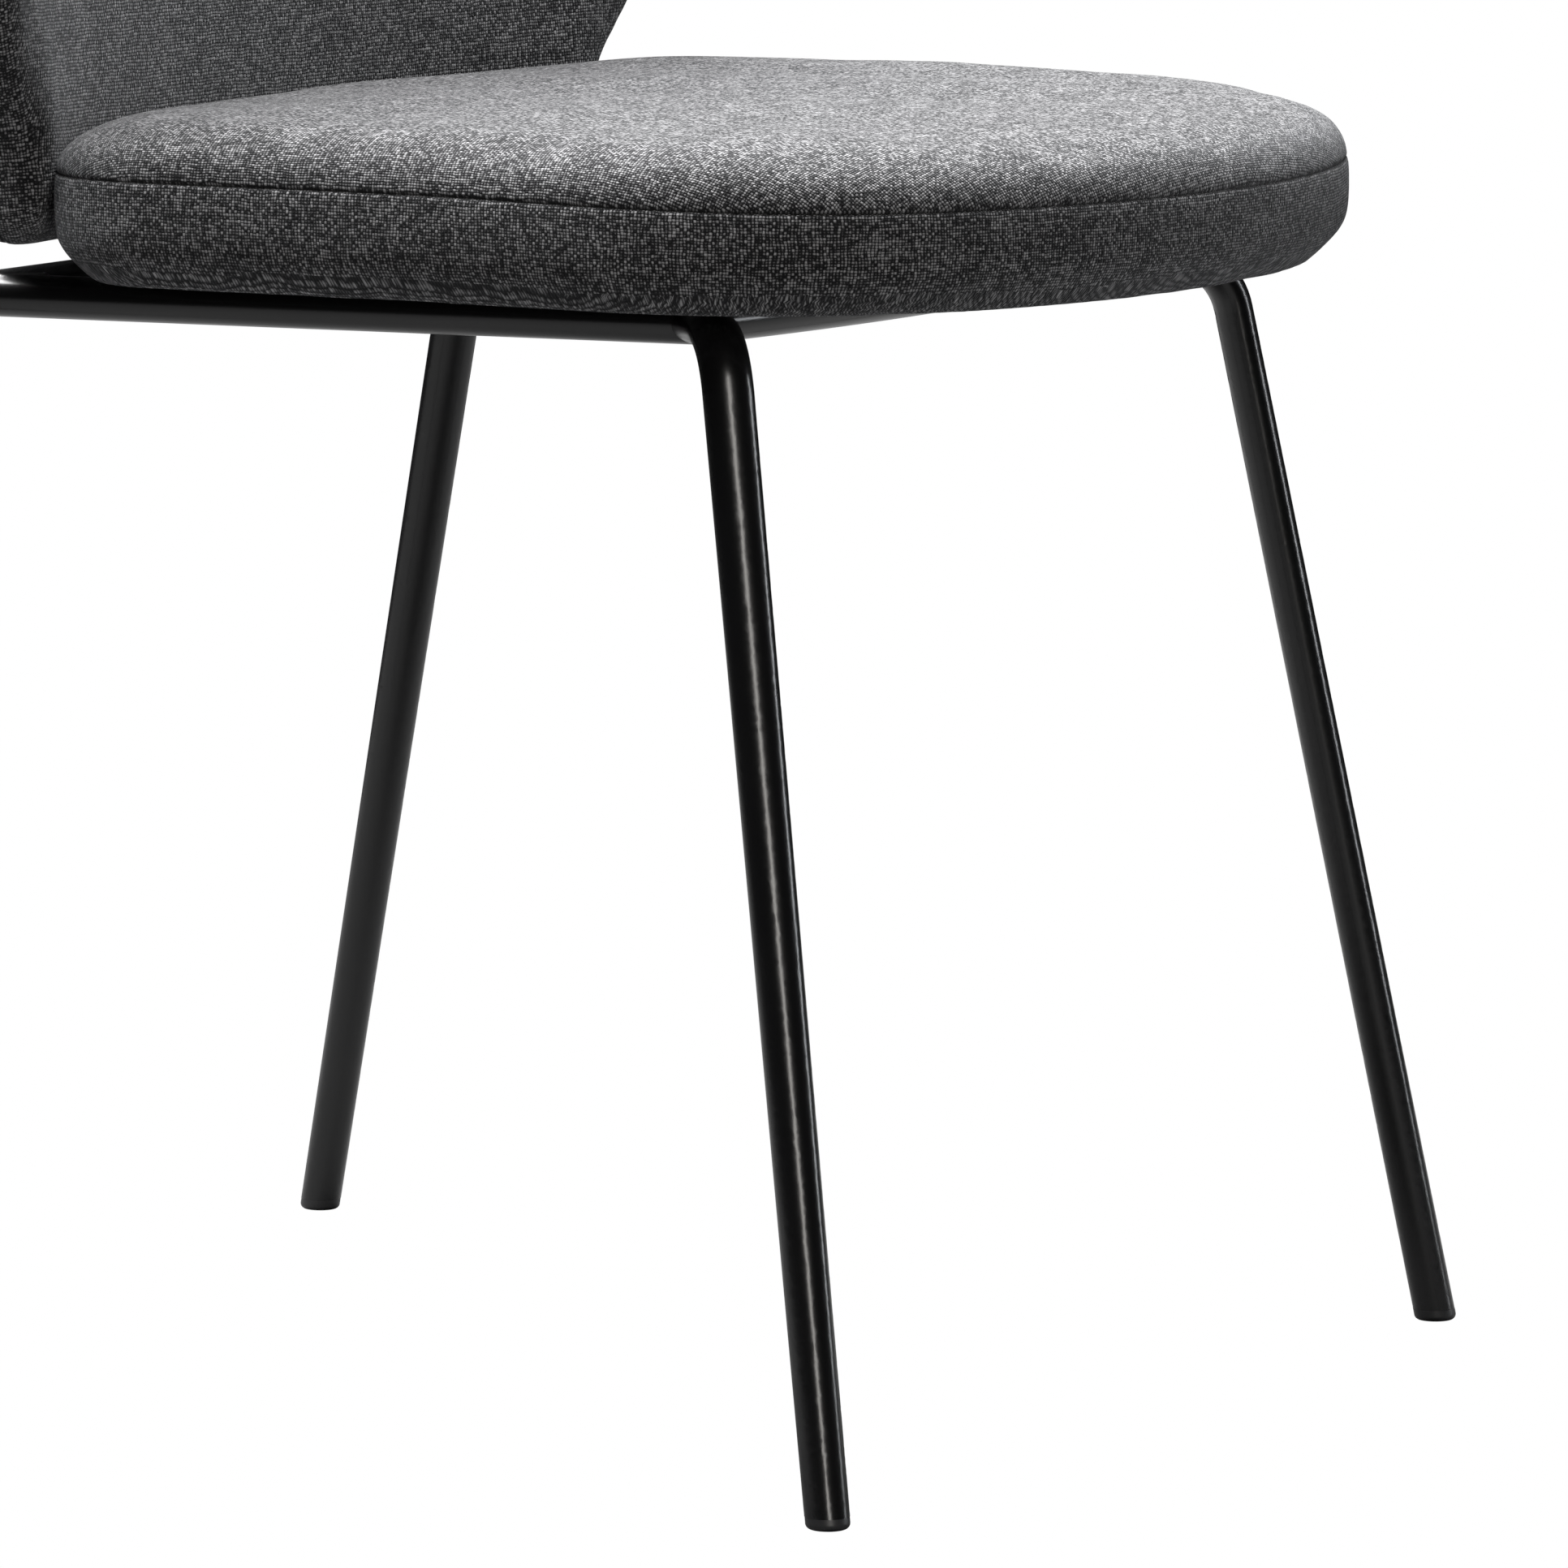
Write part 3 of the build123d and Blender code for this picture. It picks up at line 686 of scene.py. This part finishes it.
def lay_weave(piece, side_of, flat_of, edge_of):
    """Write the weave map: flat_of gives the map on the broad faces, edge_of on the edge band."""
    mesh = piece.data
    layer = mesh.uv_layers.new(name="weave")
    for face in mesh.polygons:
        on_edge = side_of(face)
        for index in face.loop_indices:
            co = mesh.vertices[mesh.loops[index].vertex_index].co
            layer.data[index].uv = edge_of(co, face) if on_edge else flat_of(co)


def finish_seat(piece, plan):
    """Crown, seam groove, dip and weave map of the seat."""
    seat = settings("chair_seat")
    relax_and_split(piece, 3)
    find = nearest_walk(plan)
    seam, bottom = plan.seam, plan.bottom
    for vert in piece.data.vertices:
        co = vert.co
        _, inside, _ = find(co.x, co.y)
        if co.z > seam:
            share = smooth_step((co.z - seam) / seat.top_round)
            reach = min(max(inside, 0) / 0.17, 1.0)
            co.z += seat.crown * share * (1 - (1 - reach) ** 2.2)
            co.z -= seat.rear_dip * share * smooth_step(co.y / plan.rear)
            co.z += soft_pull((co.x, co.y, 0), 0.0012, 14.0) * share
        co.z = max(co.z, bottom + 0.0002)

    def inward(co):
        _, inside, normal = find(co.x, co.y)
        return Vector((-normal.x, -normal.y, 0)), inside

    cut_seam(piece, 2, seam, inward)
    total = outline_length(plan)

    def on_side(face):
        _, inside, _ = find(face.center.x, face.center.y)
        return face.center.z < seam and inside < 0.02 and abs(face.normal.z) < 0.75

    def side_map(co, face):
        here, home = (co.x, co.y), (face.center.x, face.center.y)
        return (length_near(find, total, here, home), co.z)

    top = seam + seat.top_round + TOP_RISE

    def top_map(co):
        """Plan map that carries on down the rolled edge at full length."""
        _, _, normal = find(co.x, co.y)
        drop = max(0.0, top - co.z)
        return (co.x + normal.x * drop, co.y + normal.y * drop)

    lay_weave(piece, on_side, top_map, side_map)
    for vert in piece.data.vertices:
        co = vert.co
        height = min(max((co.z - bottom) / (seam - bottom), 0), 1)
        fall = smooth_step((-co.y - 0.045) / (abs(plan.front) - 0.045))
        _, inside, _ = find(co.x, co.y)
        co.z -= seat.front_dip * fall * (0.45 + 0.55 * height)
        co.z += seat.rim_lift * (1 - height) * (1 - smooth_step(inside / RIM_REACH))
        if inside > FLAT_UNDER:
            co.z = max(co.z, bottom + 0.0002)
    piece.data.shade_smooth()


# ---------------------------------------------------------------- back
def rounded_walk(corners, rounds, spacing):
    """Walk round a polygon with rounded corners, counter-clockwise, with outward normals."""
    tangents = []
    count = len(corners)
    for index, radius in enumerate(rounds):
        here = Vector(corners[index])
        before = (here - Vector(corners[index - 1])).normalized()
        after = (Vector(corners[(index + 1) % count]) - here).normalized()
        turn = math.atan2(before.x * after.y - before.y * after.x, before.dot(after))
        reach = radius * math.tan(abs(turn) / 2)
        tangents.append((here - before * reach, here + after * reach, before, turn, radius))
    walk = []
    for index, (start, end, before, turn, radius) in enumerate(tangents):
        last_end = tangents[index - 1][1]
        flat = (start - last_end).length
        normal = Vector((before.y, -before.x))
        walk += line_walk(last_end, start, normal, max(1, round(flat / spacing)))
        side = 1 if turn > 0 else -1
        centre = start - normal * radius * side
        angle = math.atan2(normal.y * side, normal.x * side)
        steps = max(3, round(abs(turn) * radius / spacing))
        for point, outward in arc_walk(centre, radius, angle, angle + turn, steps):
            walk.append((point, outward * side))
    return walk


class BackPlan:
    """Front outline of the flat back, its thickness and the curve it is bent round."""

    def __init__(self):
        back = settings("chair_back")
        self.back = back
        lean_rise = math.cos(back.recline)
        self.low = face_low[2]
        self.high = (face_high[2] - face_low[2]) / lean_rise
        self.wide = face_high[0]
        self.thick = back.thickness
        corners = [(back.low_half, 0), (back.low_half, back.flare_start),
                   (self.wide + FLARE_GROWTH, back.flare_end), (back.top_half, self.high)]
        corners += [(-x, y) for x, y in reversed(corners)]
        self.walk = rounded_walk(corners, BACK_CORNERS + BACK_CORNERS[::-1], SPACING)
        alpha = math.asin(back.mid_half / back.mid_radius)
        self.wing_x = (back.mid_radius - back.wing_radius) * math.sin(alpha)
        self.wing_y = (back.mid_radius - back.wing_radius) * math.cos(alpha) - back.mid_radius
        self.face_y = self.find_face_y()

    def find_face_y(self):
        """Y of the front face's middle at the bottom of the back."""
        rise = self.high * math.sin(self.back.recline)
        return face_high[1] - rise - COVER

    def curve_y(self, x, depth):
        """Plan curve: how far behind the middle of the front face a point lies."""
        back = self.back
        x = abs(x)
        if x <= (back.mid_radius + depth) * back.mid_half / back.mid_radius:
            return math.sqrt((back.mid_radius + depth) ** 2 - x**2) - back.mid_radius
        reach = back.wing_radius + depth
        return self.wing_y + math.sqrt(reach**2 - min(x - self.wing_x, reach * 0.98) ** 2)

    def girth(self, x):
        """Length along the plan curve from the middle to x."""
        back = self.back
        alpha = math.asin(back.mid_half / back.mid_radius)
        size = abs(x)
        if size <= back.mid_half:
            length = back.mid_radius * math.asin(size / back.mid_radius)
        else:
            turn = math.asin(min((size - self.wing_x) / back.wing_radius, 0.98))
            length = back.mid_radius * alpha + back.wing_radius * (turn - alpha)
        return math.copysign(length, x)

    def bend(self, co):
        """Move a point of the flat back to its place on the leaning, curved back."""
        lean = self.back.recline
        along = self.curve_y(co.x, co.y)
        return Vector((
            co.x,
            self.face_y + along * math.cos(lean) + co.z * math.sin(lean),
            self.low + co.z * math.cos(lean) - along * math.sin(lean),
        ))

    def ring(self, inset, depth):
        """One loop of the flat back's skin."""
        points = [point - normal * inset for point, normal in self.walk]
        return [(point.x, depth, point.y) for point in points]


def build_back():
    """Padded back, built and simulated flat, then bent round its plan curve."""
    back = settings("chair_back")
    plan = BackPlan()
    front_round, rear_round = back.edge_round, back.rear_round
    rings = []
    for step in range(ROUND_STEPS + 1):
        angle = math.pi / 2 * step / ROUND_STEPS
        rings.append(plan.ring(-BACK_GROWTH + front_round * (1 - math.sin(angle)),
                               front_round * (1 - math.cos(angle))))
    rings.append(plan.ring(-BACK_GROWTH, (front_round + plan.thick - rear_round) / 2))
    for step in range(ROUND_STEPS + 1):
        angle = math.pi / 2 * step / ROUND_STEPS
        rings.append(plan.ring(-BACK_GROWTH + rear_round * (1 - math.cos(angle)),
                               plan.thick - rear_round * (1 - math.sin(angle))))
    piece = new_piece("back_pad", skin_rings(rings))
    inflate(piece, back.voxel, back.swell)
    relax_and_split(piece, 3)
    find = nearest_walk(plan)
    for vert in piece.data.vertices:
        co = vert.co
        _, inside, _ = find(co.x, co.z)
        reach = smooth_step(max(inside, 0) / 0.09)
        if co.y < plan.thick / 2:
            co.y -= 0.002 * reach + soft_pull((co.x, 0, co.z), 0.0010, 13.0) * reach
        else:
            co.y += 0.001 * reach

    def inward(co):
        _, inside, normal = find(co.x, co.z)
        return Vector((-normal.x, 0, -normal.y)), inside

    cut_seam(piece, 1, back.seam_depth, inward)
    total = outline_length(plan)

    def on_edge(face):
        _, inside, _ = find(face.center.x, face.center.z)
        return abs(face.normal.y) < 0.72 and inside < 0.02

    def edge_map(co, face):
        here, home = (co.x, co.z), (face.center.x, face.center.z)
        return (length_near(find, total, here, home), co.y)

    lay_weave(piece, on_edge, lambda co: (plan.girth(co.x), co.z), edge_map)
    for vert in piece.data.vertices:
        vert.co = plan.bend(vert.co)
    piece.data.shade_smooth()
    return piece


# ---------------------------------------------------------------- hard finishes
def paint_texture_group():
    """Fine unevenness of a sprayed or moulded skin: roughness and relief."""
    group, given, out = new_group(
        "Fine Skin",
        [("Vector", "v", None), ("Grain", "f", 900.0),
         ("Roughness", "f", 0.25), ("Spread", "f", 0.05)],
        [("Roughness", "f"), ("Height", "f"), ("Mask", "f")],
    )
    place = given.outputs["Vector"]
    fine = group.nodes.new("ShaderNodeTexNoise")
    fine.inputs["Detail"].default_value = 2.0
    link(group, place, fine.inputs["Vector"])
    link(group, given.outputs["Grain"], fine.inputs["Scale"])
    broad = noise_node(group, place, 22.0, 3.0, 0.6)
    centred = math_node(group, "SUBTRACT", broad, 0.5)
    spread = math_node(group, "MULTIPLY", centred, given.outputs["Spread"])
    roughness = math_node(group, "ADD", given.outputs["Roughness"], spread)
    link(group, roughness, out.inputs["Roughness"])
    link(group, fine.outputs["Fac"], out.inputs["Height"])
    link(group, broad, out.inputs["Mask"])
    return group


def hard_material(name, colour, roughness, grain=900.0, relief=0.00003, metallic=0.0, spread=0.05):
    """Painted, moulded or plated skin with a fine grain."""
    material = bpy.data.materials.new(name)
    material.use_nodes = True
    tree = material.node_tree
    shader = tree.nodes["Principled BSDF"]
    place = tree.nodes.new("ShaderNodeTexCoord")
    skin = tree.nodes.new("ShaderNodeGroup")
    skin.node_tree = bpy.data.node_groups.get("Fine Skin") or paint_texture_group()
    skin.inputs["Grain"].default_value = grain
    skin.inputs["Roughness"].default_value = roughness
    skin.inputs["Spread"].default_value = spread
    link(tree, place.outputs["Object"], skin.inputs["Vector"])
    bump = tree.nodes.new("ShaderNodeBump")
    bump.inputs["Strength"].default_value = 0.5
    bump.inputs["Distance"].default_value = relief
    link(tree, skin.outputs["Height"], bump.inputs["Height"])
    link(tree, skin.outputs["Roughness"], shader.inputs["Roughness"])
    link(tree, bump.outputs["Normal"], shader.inputs["Normal"])
    darker = tuple(c * 0.82 for c in colour)
    link(tree, mix_colour(tree, skin.outputs["Mask"], darker, colour), shader.inputs["Base Color"])
    shader.inputs["Metallic"].default_value = metallic
    return material


def ply_material():
    """Pale veneer with long grain."""
    material = bpy.data.materials.new("plywood")
    material.use_nodes = True
    tree = material.node_tree
    shader = tree.nodes["Principled BSDF"]
    place = tree.nodes.new("ShaderNodeTexCoord")
    stretched = scaled_vector(tree, place.outputs["Object"], (260.0, 9.0, 40.0))
    grain = noise_node(tree, stretched, 1.0, 5.0, 0.6)
    colour = mix_colour(tree, grain, (0.50, 0.34, 0.19), (0.72, 0.55, 0.36))
    link(tree, colour, shader.inputs["Base Color"])
    shader.inputs["Roughness"].default_value = 0.7
    bump = tree.nodes.new("ShaderNodeBump")
    bump.inputs["Distance"].default_value = 0.0002
    link(tree, grain, bump.inputs["Height"])
    link(tree, bump.outputs["Normal"], shader.inputs["Normal"])
    return material


def dress(names, material):
    """Give CAD nodes a finished material."""
    for name in names:
        mesh = frame["nodes"][name].data
        mesh.materials.clear()
        mesh.materials.append(material)


# ---------------------------------------------------------------- stage
def build_stage():
    """White floor, soft lights, a pale surround and the camera."""
    stage = settings("chair_stage")
    scene = bpy.context.scene
    scene.view_settings.view_transform = "Standard"
    bm = bmesh.new()
    bmesh.ops.create_circle(bm, cap_ends=True, segments=64, radius=stage.floor_radius)
    bmesh.ops.translate(bm, verts=bm.verts, vec=(0, 0, -0.0005))
    floor_material = bpy.data.materials.new("studio_floor")
    floor_material.use_nodes = True
    tree = floor_material.node_tree
    shader = tree.nodes["Principled BSDF"]
    shader.inputs["Base Color"].default_value = (0.10, 0.10, 0.10, 1)
    shader.inputs["Roughness"].default_value = 0.9
    shader.inputs["Specular IOR Level"].default_value = 0.0
    # the camera sees the floor as plain white, so it takes no shadow
    white = tree.nodes.new("ShaderNodeEmission")
    path = tree.nodes.new("ShaderNodeLightPath")
    cut = tree.nodes.new("ShaderNodeMixShader")
    link(tree, path.outputs["Is Camera Ray"], cut.inputs[0])
    link(tree, shader.outputs[0], cut.inputs[1])
    link(tree, white.outputs[0], cut.inputs[2])
    link(tree, cut.outputs[0], tree.nodes["Material Output"].inputs["Surface"])
    floor = new_piece("studio_floor", bm, floor_material, smooth=False)

    def area(name, place, target, size, power, colour=(1, 1, 1)):
        light = bpy.data.lights.new(name, "AREA")
        light.shape = "RECTANGLE"
        light.size, light.size_y = size
        light.energy = power
        light.color = colour
        lamp = bpy.data.objects.new(name, light)
        lamp.location = place
        lamp.rotation_euler = (Vector(target) - Vector(place)).to_track_quat("-Z", "Y").to_euler()
        scene.collection.objects.link(lamp)

    aim = (0, 0, 0.45)
    area("top_softbox", (0.3, 0.9, 3.0), aim, (3.0, 3.0), stage.top_light)
    area("side_softbox", (-2.6, -2.4, 1.5), aim, (0.5, 2.4), stage.side_light, (1.0, 0.97, 0.93))
    area("far_strip", (2.2, -2.6, 1.2), aim, (0.3, 2.2), stage.side_light * 0.6, (0.93, 0.96, 1.0))

    world = bpy.data.worlds.new("studio")
    scene.world = world
    world.use_nodes = True
    nodes = world.node_tree.nodes
    background = nodes["Background"]
    path = nodes.new("ShaderNodeLightPath")
    strength = stage.world
    for ray, value in (("Is Glossy Ray", stage.mirror_room), ("Is Camera Ray", 1.0)):
        pick = nodes.new("ShaderNodeMix")
        pick.data_type = "FLOAT"
        world.node_tree.links.new(path.outputs[ray], pick.inputs["Factor"])
        if isinstance(strength, float):
            pick.inputs[2].default_value = strength
        else:
            world.node_tree.links.new(strength, pick.inputs[2])
        pick.inputs[3].default_value = value
        strength = pick.outputs[0]
    world.node_tree.links.new(strength, background.inputs["Strength"])
    background.inputs["Color"].default_value = (1, 1, 1, 1)

    data = bpy.data.cameras.new("camera")
    data.sensor_width = 36.0
    data.lens = stage.lens
    data.clip_end = 100.0
    camera = bpy.data.objects.new("camera", data)
    camera.location = stage.camera_place
    flat = math.cos(stage.pitch)
    way = Vector((-math.sin(stage.azimuth) * flat, math.cos(stage.azimuth) * flat,
                  -math.sin(stage.pitch)))
    camera.rotation_euler = way.to_track_quat("-Z", "Y").to_euler()
    scene.collection.objects.link(camera)
    scene.camera = camera


# ---------------------------------------------------------------- operators
class CHAIR_OT_stage(bpy.types.Operator):
    """Make the floor, the lights and the camera"""

    bl_idname = "chair.stage"
    bl_label = "Stage"

    def execute(self, context):
        build_stage()
        return {"FINISHED"}


class CHAIR_OT_seat(bpy.types.Operator):
    """Make the padded seat in its woven cover"""

    bl_idname = "chair.seat"
    bl_label = "Padded Seat"

    def execute(self, context):
        piece, plan = build_seat()
        finish_seat(piece, plan)
        piece.data.materials.clear()
        piece.data.materials.append(cloth_material("seat_cloth"))
        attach(piece, "root")
        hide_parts("seat_top_cover", "seat_side_band", "seat_foam")
        return {"FINISHED"}


class CHAIR_OT_back(bpy.types.Operator):
    """Make the padded back in its woven cover"""

    bl_idname = "chair.back"
    bl_label = "Padded Back"

    def execute(self, context):
        piece = build_back()
        piece.data.materials.clear()
        piece.data.materials.append(cloth_material("back_cloth"))
        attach(piece, "root")
        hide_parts("back_front_cover", "back_edge_band", "back_rear_cover",
                    "back_front_foam", "back_rear_foam")
        return {"FINISHED"}


class CHAIR_OT_finishes(bpy.types.Operator):
    """Give the frame, feet, board and fasteners their finishes"""

    bl_idname = "chair.finishes"
    bl_label = "Hard Finishes"

    def execute(self, context):
        tubes = settings("chair_frame")
        slots = {entry["node"]: entry["material_slot"] for entry in frame["record"]["subparts"]}

        def named(slot):
            return [node for node, own in slots.items() if own == slot]

        paint = hard_material("gloss_black_paint", tuple(tubes.paint), tubes.gloss)
        plastic = hard_material("black_foot_plastic", (0.010, 0.010, 0.011), 0.42, 500.0, 0.00008)
        zinc = hard_material("zinc_plate", (0.62, 0.62, 0.60), 0.38, 700.0, 0.00003, metallic=1.0)
        felt = hard_material("black_felt", (0.012, 0.012, 0.013), 0.95, 1600.0, 0.0004)
        dress(named("frame_paint"), paint)
        dress(named("black_plastic"), plastic)
        dress(named("zinc_steel"), zinc)
        dress(named("plywood"), ply_material())
        dress(named("dust_cloth"), felt)
        return {"FINISHED"}


class CHAIR_PT_build(bpy.types.Panel):
    """Buttons and sizes for the chair's dressing"""

    bl_label = "Chair"
    bl_space_type = "VIEW_3D"
    bl_region_type = "UI"
    bl_category = "Chair"

    def draw(self, context):
        for operator in BUILD_ORDER:
            self.layout.operator(operator.bl_idname)
        for name, kind in SETTINGS.items():
            box = self.layout.box()
            for prop in kind.__annotations__:
                box.prop(getattr(context.scene, name), prop)


BUILD_ORDER = (CHAIR_OT_stage, CHAIR_OT_finishes, CHAIR_OT_seat, CHAIR_OT_back)
CLASSES = (*SETTINGS.values(), *BUILD_ORDER, CHAIR_PT_build)


def register():
    for kind in CLASSES:
        bpy.utils.register_class(kind)
    for name, kind in SETTINGS.items():
        setattr(bpy.types.Scene, name, bpy.props.PointerProperty(type=kind))


def unregister():
    for name in SETTINGS:
        delattr(bpy.types.Scene, name)
    for kind in reversed(CLASSES):
        bpy.utils.unregister_class(kind)


def main():
    register()
    bpy.ops.chair.stage()
    bpy.ops.chair.finishes()
    bpy.ops.chair.seat()
    bpy.ops.chair.back()


if __name__ == "__main__":
    main()
